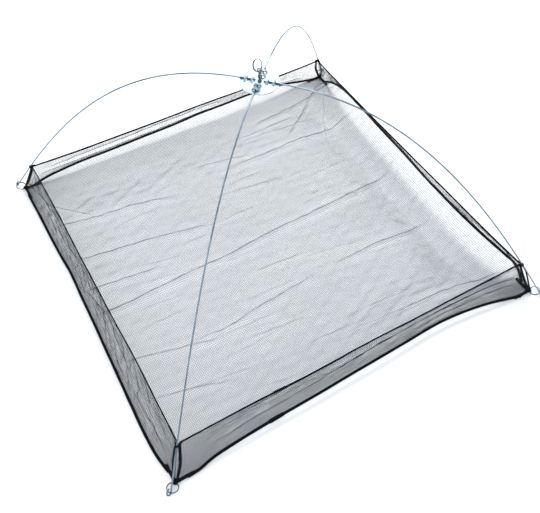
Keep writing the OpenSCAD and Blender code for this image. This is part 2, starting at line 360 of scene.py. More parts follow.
def plate_material():
    """Bright galvanised sheet: zinc spangle, white bloom, and darker slate-blue sharp edges round the arches.
    """
    m = Material("galvanised_sheet", Metallic=0.35)
    spangle = m.add("ShaderNodeTexVoronoi", {"Vector": m.place, "Scale": 260.0}, feature="F1")
    grains = m.noise(90.0, 5.0)
    fine = m.noise(1400.0, 3.0)
    patches = m.span(spangle.outputs["Color"], 0.1, 0.9, 0.0, 1.0)
    tone = m.mix(patches, (0.27, 0.33, 0.37), (0.33, 0.39, 0.43))
    tone = m.mix(m.span(grains, 0.45, 0.75, 0.0, 0.6), tone, (0.39, 0.45, 0.49))
    # Darker slate-blue along the sharp convex edges, round the arches and the plate's rim.
    edge = m.add("ShaderNodeNewGeometry").outputs["Pointiness"]
    tone = m.mix(m.span(edge, 0.52, 0.6, 0.0, 0.6), tone, (0.16, 0.26, 0.32))
    m.colour(tone)
    m.roughness(m.span(m.math("ADD", grains, fine), 0.7, 1.3, 0.3, 0.52))
    m.bump(m.math("ADD", fine, m.math("MULTIPLY", grains, 2.0)), 0.2, 0.0003)
    return m.material


def eye_material():
    """Galvanised eye: greyer than the ring, with rubbed high spots."""
    m = Material("galvanised_eye", Metallic=1.0)
    blotches = m.noise(240.0, 5.0)
    fine = m.noise(2400.0, 3.0)
    m.colour(m.mix(m.span(blotches, 0.35, 0.7, 0.0, 1.0), (0.06, 0.09, 0.13), (0.17, 0.22, 0.27)))
    m.roughness(m.span(m.math("ADD", blotches, fine), 0.7, 1.3, 0.24, 0.48))
    m.bump(fine, 0.25, 0.0002)
    return m.material


def tape_material(name, dark, light, stitch_pitch, stitch_row):
    """Black woven binding tape with a row of stitches along it and a little dust and fading."""
    m = Material(name, Specular_IOR_Level=0.08)
    split = m.add("ShaderNodeSeparateXYZ", {"Vector": m.lay})
    along, across = split.outputs["X"], split.outputs["Y"]
    warp = m.math("SINE", m.math("MULTIPLY", across, 2 * math.pi / (0.7 * MM)))
    weft = m.math("SINE", m.math("MULTIPLY", along, 2 * math.pi / (0.9 * MM)))
    weave = m.math("MULTIPLY", warp, weft)
    fuzz = m.noise(2600.0, 3.0)
    fading = m.noise(18.0, 4.0)
    beat = m.math("SINE", m.math("MULTIPLY", along, 2 * math.pi / stitch_pitch))
    near = m.math("ABSOLUTE", m.math("SUBTRACT", across, stitch_row))
    row = m.span(near, 0.2 * MM, 0.45 * MM, 1.0, 0.0)
    stitch = m.math("MULTIPLY", m.span(beat, -0.35, 0.0, 0.0, 1.0), row)
    tone = m.mix(m.span(fading, 0.35, 0.7, 0.0, 1.0), dark, light)
    tone = m.mix(m.span(weave, -0.5, 1.0, 0.0, 0.5), tone, tuple(1.7 * c for c in light))
    tone = m.mix(stitch, tone, tuple(2.2 * c for c in light))
    m.colour(tone)
    m.roughness(m.span(m.math("ADD", fading, fuzz), 0.7, 1.3, 0.72, 0.95))
    threads = m.math("MULTIPLY", weave, 0.3)
    raised = m.math("ADD", fuzz, m.math("MULTIPLY", stitch, 1.6))
    m.bump(m.math("ADD", threads, raised), 0.6, 0.0004)
    return m.material


def twine_material(name, dark, light):
    """Dark knotless twine: laid strands along its length, and dry salt on some of it."""
    m = Material(name, Specular_IOR_Level=0.15)
    split = m.add("ShaderNodeSeparateXYZ", {"Vector": m.lay})
    lay = m.math("ADD", m.math("MULTIPLY", split.outputs["X"], 2 * math.pi / (1.2 * MM)),
                 m.math("MULTIPLY", split.outputs["Y"], 2 * math.pi / (0.7 * MM)))
    strands = m.math("SINE", lay)
    dryness = m.noise(9.0, 5.0)
    fibres = m.noise(3200.0, 2.0)
    tone = m.mix(m.span(dryness, 0.35, 0.7, 0.0, 1.0), dark, light)
    tone = m.mix(m.span(strands, 0.2, 1.0, 0.0, 0.4), tone, tuple(1.8 * c for c in light))
    m.colour(tone)
    m.roughness(m.span(m.math("ADD", dryness, fibres), 0.7, 1.3, 0.5, 0.8))
    m.bump(m.math("ADD", strands, m.math("MULTIPLY", fibres, 0.5)), 0.5, 0.0002)
    return m.material


WIRE = wire_material()
RING = ring_material()
PLATE = plate_material()
EYE = eye_material()
TAPE_BLACK = ((0.0015, 0.002, 0.003), (0.004, 0.005, 0.0065))
FLOOR_TAPE = tape_material("floor_hem_tape", *TAPE_BLACK, 4 * MM, 4.5 * MM)
RIM_TAPE = tape_material("rim_hem_tape", *TAPE_BLACK, 3.4 * MM, 2.5 * MM)
CORNER_TAPE = tape_material("corner_tape", *TAPE_BLACK, 3.4 * MM, 2.2 * MM)
# Painted light: the floor's twine is the same black twine as the walls', painted a lighter grey-blue for the
# light it catches lying flat.
FLOOR_TWINE_PAINTED_LIGHT = twine_material("floor_twine", (0.055, 0.075, 0.10), (0.10, 0.125, 0.155))
WALL_TWINE = twine_material("wall_twine", (0.003, 0.006, 0.011), (0.010, 0.015, 0.024))


def finish_piece(obj, material, slot, *nodes):
    obj.data.materials.clear()
    obj.data.materials.append(material)
    if nodes:
        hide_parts(*nodes)


# ---- ribs ----


def bezier(t, p0, p1, p2, p3):
    t = np.asarray(t)[:, None]
    return (1 - t) ** 3 * p0 + 3 * (1 - t) ** 2 * t * p1 + 3 * (1 - t) * t * t * p2 + t ** 3 * p3


LEVEL_STEPS = 13
BOW_STEPS = 110


def rib_path():
    """The rib's centre line in its own plane, [out, aside, up], from under the arches to the open eye."""
    p0 = np.array([rib_root, 0, hub_height])
    p1 = p0 + np.array([rib_level_pull, 0, 0])
    p3 = np.array([rib_foot, 0, rib_foot_height])
    p2 = p3 + rib_foot_pull * np.array([-math.cos(rib_foot_slope), 0, math.sin(rib_foot_slope)])
    level = np.array([[x, 0, hub_height] for x in np.linspace(rib_inner_end, rib_root, LEVEL_STEPS + 1)[:-1]])
    bow = bezier(np.linspace(0, 1, BOW_STEPS), p0, p1, p2, p3)
    along = np.array([math.cos(rib_foot_slope), 0, -math.sin(rib_foot_slope)])
    normal = np.array([math.sin(rib_foot_slope), 0, math.cos(rib_foot_slope)])
    across = math.cos(eye_turn) * normal + math.sin(eye_turn) * np.array([0, 1, 0])
    low = p3 + eye_straight * along + eye_radius * across
    high = p3 + eye_radius * across

    def arc(middle, first, last, steps):
        a = np.linspace(first, last, steps)[:, None]
        return middle + eye_radius * (np.sin(a) * along - np.cos(a) * across)

    down = np.linspace(p3, arc(low, 0, 0, 1)[0], 6)[1:-1]
    up = np.linspace(arc(low, math.pi, math.pi, 1)[0], arc(high, math.pi, math.pi, 1)[0], 5)[1:-1]
    bottom = arc(low, 0, math.pi, 17)
    top = arc(high, math.pi, 1.5 * math.pi, 9)
    return np.concatenate([level, bow, down, bottom, up, top]), np.cross(along, across)


def turned(points, degrees):
    a = math.radians(degrees)
    turn = np.array([[math.cos(a), math.sin(a), 0], [-math.sin(a), math.cos(a), 0], [0, 0, 1]])
    return np.asarray(points) @ turn


def make_rib(corner, degrees):
    path, eye_normal = rib_path()
    tangent = np.gradient(path, axis=0)
    tangent /= np.linalg.norm(tangent, axis=1)[:, None]
    up = np.tile(np.array([0.0, 1.0, 0.0]), (len(path), 1))
    turn_from, turn_steps = 110, 12.0
    near_eye = smooth((np.arange(len(path)) - turn_from) / turn_steps)[:, None]
    up = up * (1 - near_eye) + eye_normal * near_eye
    taper = np.ones(len(path))
    taper[0], taper[1] = 0.55, 0.92
    taper[-1], taper[-2] = 0.55, 0.92
    section = round_section(rib_wire, sides=14)[None] * taper[:, None, None]
    sweep = Sweep()
    sweep.add(turned(path, degrees), section, turned(up, degrees))
    rib = sweep.build("rib_wire_" + corner)
    finish_piece(rib, WIRE, "spring_wire", "rib_" + corner, "rib_end_" + corner)
    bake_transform(rib)


# ---- rings ----


def split_ring_path(start_turn):
    """A double-turn split ring in its own XY plane: two flat turns with a step from one to the other."""
    turns = 1.94
    a = np.linspace(0, turns * 2 * math.pi, 120)
    step = smooth((a - 0.86 * math.pi) / (1.1 * math.pi)) * 2 - 1
    return np.stack([ring_radius * np.cos(a + start_turn), ring_radius * np.sin(a + start_turn),
                     step * ring_pitch / 2], axis=1)


def place(points, matrix):
    m = np.array(matrix)
    return points @ m[:3, :3].T + m[:3, 3]


def make_ring(name, matrix, start_turn):
    path = split_ring_path(start_turn)
    taper = np.ones(len(path))
    taper[0] = taper[-1] = 0.6
    section = round_section(ring_wire, ring_wire * 0.94, sides=12)[None] * taper[:, None, None]
    sweep = Sweep()
    sweep.add(place(path, matrix), section, np.array(matrix)[:3, 2])
    return sweep.build(name)


def make_corner_ring(corner, degrees):
    matrix = (Matrix.Rotation(math.radians(degrees), 4, "Z") @ Matrix.Translation((ring_out, 0, ring_up))
              @ Matrix.Rotation(-ring_tilt, 4, "Y"))
    ring = make_ring("split_ring_coil_" + corner, matrix, 2.1)
    finish_piece(ring, RING, "ring_wire", "split_ring_" + corner)
    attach(ring, "rib_" + corner)


# ---- lifting eye and ring ----


def make_lift_eye():
    """One wire: two strands twisted up from the plate, and the eye that they open into."""
    strand = 2.5 * MM
    offset = strand / 2 + 0.05 * MM
    foot_z = plate_top + 2.2 * MM
    neck_z = plate_top + lift_eye_height - lift_eye_radius - 1.5 * MM
    middle = np.array([0, 0, plate_top + lift_eye_height])
    rise = np.linspace(0, 1, 40)
    twist_turns = 1.75
    turn = twist_turns * 2 * math.pi * (rise - 1)
    height = foot_z + rise * (neck_z - foot_z)
    helix = np.stack([offset * np.sin(turn), offset * np.cos(turn), height], axis=1)
    other = helix * np.array([-1, -1, 1])
    half_mouth = 0.62
    a = np.linspace(-math.pi / 2 + half_mouth, 1.5 * math.pi - half_mouth, 48)
    loop = np.stack([np.zeros(48), lift_eye_radius * np.cos(a), lift_eye_radius * np.sin(a)], axis=1) + middle
    path = np.concatenate([helix, loop, other[::-1]])
    sweep = Sweep()
    up = np.tile([1.0, 0, 0], (len(path), 1))
    facing = Matrix.Rotation(lift_facing, 4, "Z")
    sweep.add(place(path, facing), round_section(strand, sides=12), place(up, facing))
    lathe(sweep, [(0, -4.5), (4.6, -4.5), (5.6, -4.1), (6, -3.2), (5.8, -2.3), (5, -1.9), (2.5, -1.8)])
    lathe(sweep, [(2.4, -2.6), (2.45, 0.6), (4.1, 0.45), (4.5, 0.8), (4.5, 1.9), (4.1, 2.3), (3.2, 2.6),
                  (2.4, 3.4), (0, 3.6)])
    eye = sweep.build("lifting_eye_twisted")
    finish_piece(eye, EYE, "eye_steel", "lift_eye")
    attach(eye, "lift_eye")


def lathe(sweep, profile, sides=32):
    """Adds a turned shape about Z, profile as (radius, height over the plate) in millimetres."""
    points, faces, uvs = [], [], []
    for k, (radius, height) in enumerate(profile):
        for j in range(sides):
            a = 2 * math.pi * j / sides
            r = max(radius, 0.01) * MM
            points.append((r * math.cos(a), r * math.sin(a), plate_top + height * MM))
        if k:
            for j in range(sides):
                j2 = (j + 1) % sides
                faces.append([(k - 1) * sides + j, (k - 1) * sides + j2, k * sides + j2, k * sides + j])
                u0, u1, v0, v1 = j * MM, (j + 1) * MM, k * MM, (k + 1) * MM
                uvs.append([u0, v0, u1, v0, u1, v1, u0, v1])
    sweep.faces.append(np.array(faces) + sweep.count)
    sweep.points.append(np.array(points))
    sweep.uvs.append(np.array(uvs))
    sweep.count += len(points)


def make_lift_ring():
    matrix = (Matrix.Translation((0, 0, plate_top + lift_eye_height)) @ Matrix.Rotation(lift_facing, 4, "Z")
              @ Matrix.Rotation(-lift_lean, 4, "X") @ Matrix.Translation((0, 0, ring_radius))
              @ Matrix.Rotation(math.pi / 2, 4, "X"))
    ring = make_ring("lifting_ring_coil", matrix, 0.9)
    finish_piece(ring, RING, "ring_wire", "lift_ring")
    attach(ring, "lift_ring")


# ---- the net's outline: where the hems lie ----

# Each floor hem's middle, at points along its side, in millimetres: how far along it is, how far it is
# drawn in and how high it lies
HEM_SHAPE = {
    "back_right": [(-458, 0, 0), (-440, -2, 18), (-422, 1, 36), (-395, 10, 47), (-350, 20, 54),
                   (-250, 28, 58), (-120, 27, 58), (60, 20, 57), (250, 12, 55), (350, 5, 46),
                   (420, 0, 22), (458, 0, 0)],
    "back_left": [(-458, 0, 0), (-430, 0, 5), (-350, 0, 22), (-200, 0, 33), (0, 0, 27), (110, 0, 24),
                  (260, 0, 20), (360, 0, 17), (430, 0, 8), (458, 0, 0)],
    "front_left": [(-458, 0, 0), (-350, 2, 0), (-200, 3, 0), (-140, 6, 0), (-50, 3, 0), (50, 1, 0),
                   (180, -4, 0), (270, -7, 0), (360, -9, 0), (420, -6, 0), (458, 0, 0)],
    "front_right": [(-458, 0, 0), (-427, 2, 2), (-400, 8, 4), (-350, 13, 6), (-270, 16, 9), (-60, 23, 12),
                    (120, 30, 12), (250, 34, 12), (370, 19, 8), (430, 6, 3), (458, 0, 0)],
}
RIM_SAG = {
    "back_right": (3 * MM, 1.5 * MM),
    "back_left": (3 * MM, 2 * MM),
    "front_left": (3 * MM, 1.5 * MM),
    "front_right": (2 * MM, 2.5 * MM),
}


def curve(x, knots, heights):
    """A smooth curve through the knots, which takes its slope at each from the two beside it."""
    knots, heights = np.asarray(knots, dtype=float), np.asarray(heights, dtype=float)
    slopes = np.gradient(heights, knots)
    k = np.clip(np.searchsorted(knots, x) - 1, 0, len(knots) - 2)
    span = knots[k + 1] - knots[k]
    t = np.clip((x - knots[k]) / span, 0, 1)
    start = (1 + 2 * t) * (1 - t) ** 2 * heights[k] + t * (1 - t) ** 2 * span * slopes[k]
    end = t * t * (3 - 2 * t) * heights[k + 1] + t * t * (t - 1) * span * slopes[k + 1]
    return start + end


def floor_hem_place(side, b):
    """[out, up] of the floor hem's middle at b along the side."""
    along, drawn_in, lift = np.array(HEM_SHAPE[side]).T * MM
    b = np.clip(np.asarray(b, dtype=float), -hem_end, hem_end)
    t = b / hem_end
    seed = SIDES[side] + 3
    ends = 1 - t ** 6
    sway = 1.0 * MM * ends * bump_wave(t, seed, 5, 4, 17)
    out = half_net - floor_hem_width / 2 - curve(b, along, drawn_in) + sway
    waver = 0.9 * MM * ends * (1 + bump_wave(t, seed + 1, 4, 4, 15))
    up = floor_hem_height / 2 + curve(b, along, lift) + waver
    return out, up


def rim_hem_place(side, b):
    """[out, up] of the rim hem's middle at b along the side."""
    draw_in, drop = RIM_SAG[side]
    t = np.clip(np.asarray(b) / half_rim, -1, 1)
    seed = SIDES[side] + 31
    ends = 1 - t ** 6
    out = half_rim - 2.2 * MM - draw_in * ends + 0.8 * MM * ends * bump_wave(t, seed, 4, 3, 12)
    up = rim_height - rim_hem_height / 2 - drop * ends + 0.6 * MM * ends * bump_wave(t, seed + 1, 4, 3, 12)
    return out, up


def on_side(side, out, along, up):
    """Row frame points from a side's own [out, along, up]."""
    out, along, up = np.broadcast_arrays(out, along, up)
    return turned(np.stack([out, along, up], axis=-1).reshape(-1, 3), SIDES[side])


def go_with_side(piece, side, body=None):
    """The piece rides on the side's body, with a mesh of its own."""
    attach(piece, body or "side_" + side)
    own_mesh(piece)


# Where a hem's tape ends overlap: how far along, the overlap's length, and how much thicker it makes the hem
FLOOR_SPLICE = {"front_right": (-232 * MM, 40 * MM, 0.35)}
RIM_SPLICE = {"front_right": (-215 * MM, 32 * MM, 0.5)}


def lumpy_section(base, b, seed, amount, splice):
    """The section at each station b, with a sewn hem's small swellings and its splice."""
    t = np.linspace(0, 1, len(b))
    swell = 1 + amount * bump_wave(t, seed, 8, 40, 190)
    pinch = 1 + amount * bump_wave(t, seed + 1, 8, 40, 190)
    if splice:
        middle, length, extra = splice
        thicker = 1 + extra * smooth((length / 2 - np.abs(b - middle)) / (3 * MM))
        swell, pinch = swell * thicker, pinch * thicker
    return base[None] * np.stack([swell, pinch], axis=1)[:, None, :]


def hem_section(width, height, sides=14):
    """A tape folded over the net's edge: rounded outside, with the flat sewn lips that it closes to."""
    base = tape_section(width, height, sides, 0.62)
    base[:, 0] *= 1 + 0.1 * base[:, 1] / height
    return base


def make_floor_hem(side):
    b = np.linspace(-hem_end, hem_end, 360)
    out, up = floor_hem_place(side, b)
    base = hem_section(6.6 * MM, 5.0 * MM)
    section = lumpy_section(base, b, SIDES[side] + 11, 0.05, FLOOR_SPLICE.get(side))
    sweep = Sweep()
    sweep.add(on_side(side, out, b, up), section, (0, 0, 1))
    hem = sweep.build("floor_binding_" + side)
    finish_piece(hem, FLOOR_TAPE, "hem_tape", "floor_hem_" + side)
    go_with_side(hem, side)
    return hem


def make_rim_hem(side):
    b = np.linspace(-half_rim + 6 * MM, half_rim - 6 * MM, 320)
    out, up = rim_hem_place(side, b)
    base = hem_section(3.0 * MM, 4.6 * MM)
    section = lumpy_section(base, b, SIDES[side] + 17, 0.06, RIM_SPLICE.get(side))
    sweep = Sweep()
    sweep.add(on_side(side, out, b, up), section, (0, 0, 1))
    hem = sweep.build("rim_binding_" + side)
    finish_piece(hem, RIM_TAPE, "hem_tape", "rim_hem_" + side)
    go_with_side(hem, side)
    return hem


# ---- netting ----


class Crease:
    """A line along which netting bunches up: it runs along u, at v = at(u)."""

    def __init__(self, u0, u1, v0, v1, bunch, width, height, seed, wave=6 * MM, fade=60 * MM):
        self.u0, self.u1, self.v0, self.v1 = u0, u1, v0, v1
        self.bunch, self.width, self.height, self.seed = bunch, width, height, seed
        self.wave, self.fade = wave, fade

    def at(self, u):
        share = (u - self.u0) / (self.u1 - self.u0)
        return self.v0 + (self.v1 - self.v0) * share + self.wave * bump_wave(u, self.seed, 4, 9, 34)

    def pull(self, u, v):
        """How far the net moves along v, and how high it stands, at u, v."""
        near = smooth((u - self.u0) / self.fade + 0.5) * smooth((self.u1 - u) / self.fade + 0.5)
        s = v - self.at(u)
        bell = np.exp(-(s / self.width) ** 2)
        return -self.bunch * near * s * bell, self.height * near * bell


def floor_creases():
    """The long slack folds along X, the deeper ones first."""
    creases = [
        Crease(-0.45, 0.42, -0.022, 0.016, 0.93, 13 * MM, 5 * MM, 3, 7 * MM, 90 * MM),
        Crease(-0.46, -0.16, 0.300, 0.258, 0.88, 11 * MM, 4 * MM, 5, 5 * MM),
        Crease(0.08, 0.44, 0.268, 0.262, 0.86, 11 * MM, 4 * MM, 8, 5 * MM),
        Crease(-0.46, -0.12, 0.172, 0.112, 0.86, 11 * MM, 4 * MM, 9, 5 * MM),
        Crease(-0.47, -0.30, 0.062, 0.046, 0.82, 9 * MM, 3 * MM, 10, 3 * MM),
        Crease(-0.46, -0.26, -0.168, -0.216, 0.84, 9 * MM, 3 * MM, 12, 4 * MM),
        Crease(-0.24, 0.04, -0.205, -0.176, 0.70, 11 * MM, 3 * MM, 14, 5 * MM),
        Crease(0.14, 0.42, -0.168, -0.182, 0.80, 11 * MM, 3 * MM, 16, 5 * MM),
        Crease(-0.44, -0.28, -0.290, -0.335, 0.82, 9 * MM, 3 * MM, 19, 4 * MM),
        Crease(0.18, 0.46, -0.395, -0.415, 0.80, 11 * MM, 3 * MM, 21, 6 * MM),
        Crease(0.20, 0.47, 0.395, 0.425, 0.92, 11 * MM, 4 * MM, 23, 3 * MM),
        Crease(0.26, 0.46, 0.300, 0.455, 0.85, 11 * MM, 4 * MM, 24, 2 * MM),
        Crease(0.34, 0.47, 0.200, 0.440, 0.80, 9 * MM, 4 * MM, 25, 2 * MM),
        Crease(-0.46, -0.37, 0.395, 0.300, 0.80, 8 * MM, 4 * MM, 26, 2 * MM),
    ]
    draw = np.random.RandomState(41)
    for k in range(34):
        middle = draw.uniform(-0.36, 0.36)
        reach = draw.uniform(0.03, 0.10)
        y = -0.42 + 0.84 * (k + draw.uniform(0, 1)) / 34
        lean = draw.uniform(-0.2, 0.05) * reach * 2
        creases.append(Crease(middle - reach, middle + reach, y - lean / 2, y + lean / 2,
                              draw.uniform(0.3, 0.75), draw.uniform(5, 8) * MM, draw.uniform(1, 2) * MM,
                              60 + k, 3 * MM))
    return creases


FLOOR_CREASES = floor_creases()
fold_line = 98 * MM
fold_width = 46 * MM
FOLD_SHIFT = {"back_right": 6 * MM, "back_left": 7 * MM, "front_left": 2 * MM, "front_right": 2 * MM}


def floor_surface(x, y):
    """Where the flat net's point x, y lies in the trap."""
    dx, dy, z = np.zeros_like(x), np.zeros_like(x), np.zeros_like(x)
    inside = smooth((hem_inner - np.abs(y)) / (50 * MM))
    for crease in FLOOR_CREASES:
        pull, stand = crease.pull(x, y)
        dy += pull * inside
        z += stand * inside
    clear_x = smooth((hem_inner - np.abs(x)) / (50 * MM))
    dx += clear_x * (2.2 * MM * bump_wave(3 * x + 8 * y, 5, 4, 1, 4) + 0.7 * MM * cloud(x, y, 50, 42 * MM))
    dy += inside * 0.7 * MM * cloud(x, y, 51, 42 * MM)
    crossing = bump_wave(5 * x + 3 * y, 2, 5, 1, 4) * bump_wave(7 * y - 2 * x, 6, 4, 1, 4)
    swell = 0.5 + 0.5 * np.clip(crossing, -1, 1)
    z += 3.2 * MM * swell * inside
    for side, degrees in SIDES.items():
        d = direction(degrees)
        out = x * d[0] + y * d[1]
        along = -x * d[1] + y * d[0]
        from_hem = hem_inner - out
        hem_out, hem_up = floor_hem_place(side, along)
        drawn = hem_out - (half_net - floor_hem_width / 2)
        near = np.exp(-(from_hem / (130 * MM)) ** 2)
        clear = smooth((hem_end - np.abs(along)) / (70 * MM))
        shift = drawn * near - FOLD_SHIFT[side] * np.exp(-((from_hem - fold_line) / fold_width) ** 2) * clear
        dx += d[0] * shift
        dy += d[1] * shift
        rise = np.clip(1 - from_hem / fold_line, 0, 1)
        z = np.maximum(z, (hem_up - 1.0 * MM) * rise ** 1.25)
    return np.stack([x + dx, y + dy, np.maximum(z, 0) + floor_clear], axis=-1)


def make_floor_net(side):
    """A quarter of the floor: strings along the side and strings out from the diagonals."""
    sweep = Sweep()
    section = twine_section(floor_twine)
    degrees = SIDES[side]
    edge = hem_inner + 3.5 * MM
    count = int(edge / floor_pitch)
    along_step = 8 * MM
    out_step = 5.5 * MM

    def lay(out, along):
        flat = turned(np.stack([out, along, np.zeros_like(out)], axis=-1), degrees)
        sweep.add(floor_surface(flat[:, 0], flat[:, 1]), section, (0, 0, 1))

    for k in range(1, count + 1):
        out = (k - 0.5) * floor_pitch
        n = max(3, int(2 * out / along_step))
        lay(np.full(n, out), np.linspace(-out, out, n))
    for k in range(-count, count):
        along = (k + 0.5) * floor_pitch
        n = max(3, int((edge - abs(along)) / out_step))
        lay(np.linspace(abs(along), edge, n), np.full(n, along))
    net = sweep.build("floor_netting_" + side)
    finish_piece(net, FLOOR_TWINE_PAINTED_LIGHT, "netting", "floor_net_" + side)
    go_with_side(net, side, "floor_" + side)


# Creases along each wall, as (b0, b1, v0, v1, bunch, height in mm), with v from 0 at the floor hem to 1 at
# the rim
WALL_CREASES = {
    "front_right": [(-0.30, 0.47, 0.86, 0.90, 0.97, 5), (-0.12, 0.46, 0.68, 0.78, 0.97, 7),
                    (0.00, 0.46, 0.46, 0.62, 0.96, 6), (-0.40, 0.02, 0.42, 0.60, 0.85, 4),
                    (0.18, 0.46, 0.20, 0.44, 0.92, 5)],
    "front_left": [(-0.46, -0.30, 0.3, 0.7, 0.8, 6), (-0.42, -0.24, 0.8, 0.3, 0.85, 5),
                   (-0.30, -0.1, 0.35, 0.65, 0.6, 5), (-0.05, 0.06, 0.35, 0.75, 0.8, 5),
                   (0.1, 0.25, 0.7, 0.35, 0.6, 4), (0.2, 0.44, 0.3, 0.5, 0.5, 4)],
    "back_left": [(-0.40, 0.44, 0.30, 0.45, 0.8, 5), (-0.1, 0.42, 0.7, 0.6, 0.7, 4)],
    "back_right": [(-0.44, 0.20, 0.55, 0.35, 0.85, 6), (-0.3, 0.40, 0.3, 0.5, 0.85, 6)],
}
# How restless each wall's netting is, and how much of it there is from hem to hem
WALL_SLACK = {"front_right": (0.6 * MM, 130 * MM), "front_left": (2.6 * MM, 122 * MM),
              "back_left": (1.0 * MM, 104 * MM), "back_right": (1.6 * MM, 112 * MM)}
WALL_BULGE = {"front_right": 9 * MM, "front_left": 7 * MM, "back_left": 6 * MM, "back_right": 7 * MM}


def wall_surface(side, b, v):
    """The wall's netting at b along the floor hem and v up the wall, as row frame points."""
    pull = np.zeros_like(b)
    stand = np.zeros_like(b)
    restless, wall_cut = WALL_SLACK[side]
    for k, (b0, b1, v0, v1, bunch, height) in enumerate(WALL_CREASES[side]):
        crease = Crease(b0, b1, v0 * wall_cut, v1 * wall_cut, bunch, 10 * MM, height * MM,
                        SIDES[side] + 5 * k, 4 * MM, 80 * MM)
        p, s = crease.pull(b, v * wall_cut)
        pull += p
        stand += s * (1 if k % 2 else -1)
    inside = np.sin(math.pi * np.clip(v, 0, 1)) ** 0.6
    pull += restless * cloud(b, v * wall_cut, SIDES[side] + 21, 34 * MM)
    aside = restless * cloud(b, v * wall_cut, SIDES[side] + 22, 30 * MM)
    v = v + pull * inside / wall_cut
    hem_out, hem_up = floor_hem_place(side, b)
    top_b = b * (half_rim / half_net)
    rim_out, rim_up = rim_hem_place(side, top_b)
    ends = smooth((hem_end - np.abs(b)) / (90 * MM))
    fullness = 0.7 + 0.5 * bump_wave(b, SIDES[side] + 2, 4, 6, 22)
    belly = WALL_BULGE[side] * np.sin(math.pi * v) * ends * fullness
    out = hem_out + (rim_out - hem_out) * v - belly * 0.7 + stand * inside * 0.8
    up = hem_up + (rim_up - hem_up) * v + belly * 0.15 * (v - 0.5)
    slant = 2.5 * MM * bump_wave(30 * v + 9 * b, SIDES[side] + 9, 3, 0.5, 2)
    along = b + (top_b - b) * v + ends * inside * (slant + aside)
    return on_side(side, out, along, up)


def make_wall_net(side):
    sweep = Sweep()
    section = twine_section(wall_twine)
    facing = direction(SIDES[side]) * 0.94 + np.array([0, 0, 0.33])
    end = half_net - 3 * MM
    rows = int(WALL_SLACK[side][1] / wall_pitch)
    row_step = 7 * MM
    column_steps = 22
    n = int(2 * end / row_step)
    b = np.linspace(-end, end, n)
    for k in range(rows):
        v = np.full(n, (k + 0.5) / rows)
        sweep.add(wall_surface(side, b, v), section, facing)
    v = np.linspace(0.0, 1.0, column_steps)
    for b0 in np.arange(-end, end + 1e-6, wall_pitch):
        sweep.add(wall_surface(side, np.full(len(v), b0), v), section, facing)
    net = sweep.build("wall_netting_" + side)
    finish_piece(net, WALL_TWINE, "netting", "side_net_" + side)
    go_with_side(net, side)
    return net


# ---- corner pieces ----


def strip_path(controls, count):
    """A smooth path through control points, as a Catmull-Rom curve."""
    p = np.asarray(controls, dtype=float)
    p = np.concatenate([[2 * p[0] - p[1]], p, [2 * p[-1] - p[-2]]])
    out = []
    spans = len(p) - 3
    for t in np.linspace(0, spans, count):
        k = min(int(t), spans - 1)
        f = t - k
        a, b, c, d = p[k:k + 4]
        out.append(0.5 * (2 * b + (c - a) * f + (2 * a - 5 * b + 4 * c - d) * f * f
                          + (3 * b - a - 3 * c + d) * f ** 3))
    return np.array(out)


def wall_out(z):
    """The corner's distance from the centre at height z, on the netting's plane."""
    share = z / rim_height
    return (half_net + (half_rim - half_net) * share) * math.sqrt(2)


TAPE_BULGE = {"front": (2, 2), "right": (4, 12), "back": (2, 3), "left": (3, 2)}


def make_corner_tapes(corner, degrees):
    """Two tapes from the rim's corner down to the floor's, one on each side of the rib."""
    sweep = Sweep()
    slot = 3.0 * MM + tape_width / 2
    for hand, bulge in zip((-1, 1), TAPE_BULGE[corner]):
        controls = []
        for share, aside, proud in ((0.0, 0.52, 0.0), (0.2, 0.8, 0.4), (0.5, 1.0, 1.0), (0.8, 0.78, 0.5),
                                    (1.0, 0.46, 0.0)):
            z = rim_height - 1.5 * MM - share * (rim_height - floor_hem_height - 1 * MM)
            y = slot * aside
            controls.append([wall_out(z) - y - 0.8 * MM + proud * bulge * MM * 0.4,
                             hand * (y + proud * bulge * MM * 0.8), z])
        path = strip_path(controls, 60)
        outward = np.array([1.0, hand * 1.0, 0.5])
        outward /= np.linalg.norm(outward)
        t = np.linspace(0, 1, len(path))
        section = tape_section(tape_width, tape_thickness, 12, 0.5)[None] * np.stack(
            [1 + 0.05 * bump_wave(t, degrees + hand, 6, 14, 60), np.ones(len(t))], axis=1)[:, None, :]
        sweep.add(turned(path, degrees), section, turned(outward, degrees), along0=0.2 * (hand + 1))
    # the short tape that joins the two at the rim
    bridge = strip_path([[wall_out(rim_height) - slot * 1.1, -slot * 1.25, rim_height - 4 * MM],
                         [wall_out(rim_height) - 3.2 * MM, -slot * 0.5, rim_height - 2.6 * MM],
                         [wall_out(rim_height) - 2.6 * MM, 0, rim_height - 2.3 * MM],
                         [wall_out(rim_height) - 3.2 * MM, slot * 0.5, rim_height - 2.6 * MM],
                         [wall_out(rim_height) - slot * 1.1, slot * 1.25, rim_height - 4 * MM]], 36)
    sweep.add(turned(bridge, degrees), tape_section(1.8 * MM, 5.2 * MM, 12, 0.5), (0, 0, 1), along0=0.8)
    tapes = sweep.build("corner_binding_" + corner)
    finish_piece(tapes, CORNER_TAPE, "hem_tape", "corner_tapes_" + corner)
    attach(tapes, "rib_" + corner)


def rib_at(z):
    """The rib's distance from the centre at height z, near its foot."""
    path, _ = rib_path()
    low = path[LEVEL_STEPS:LEVEL_STEPS + BOW_STEPS][::-1]
    return float(np.interp(z, low[:, 2], low[:, 0]))


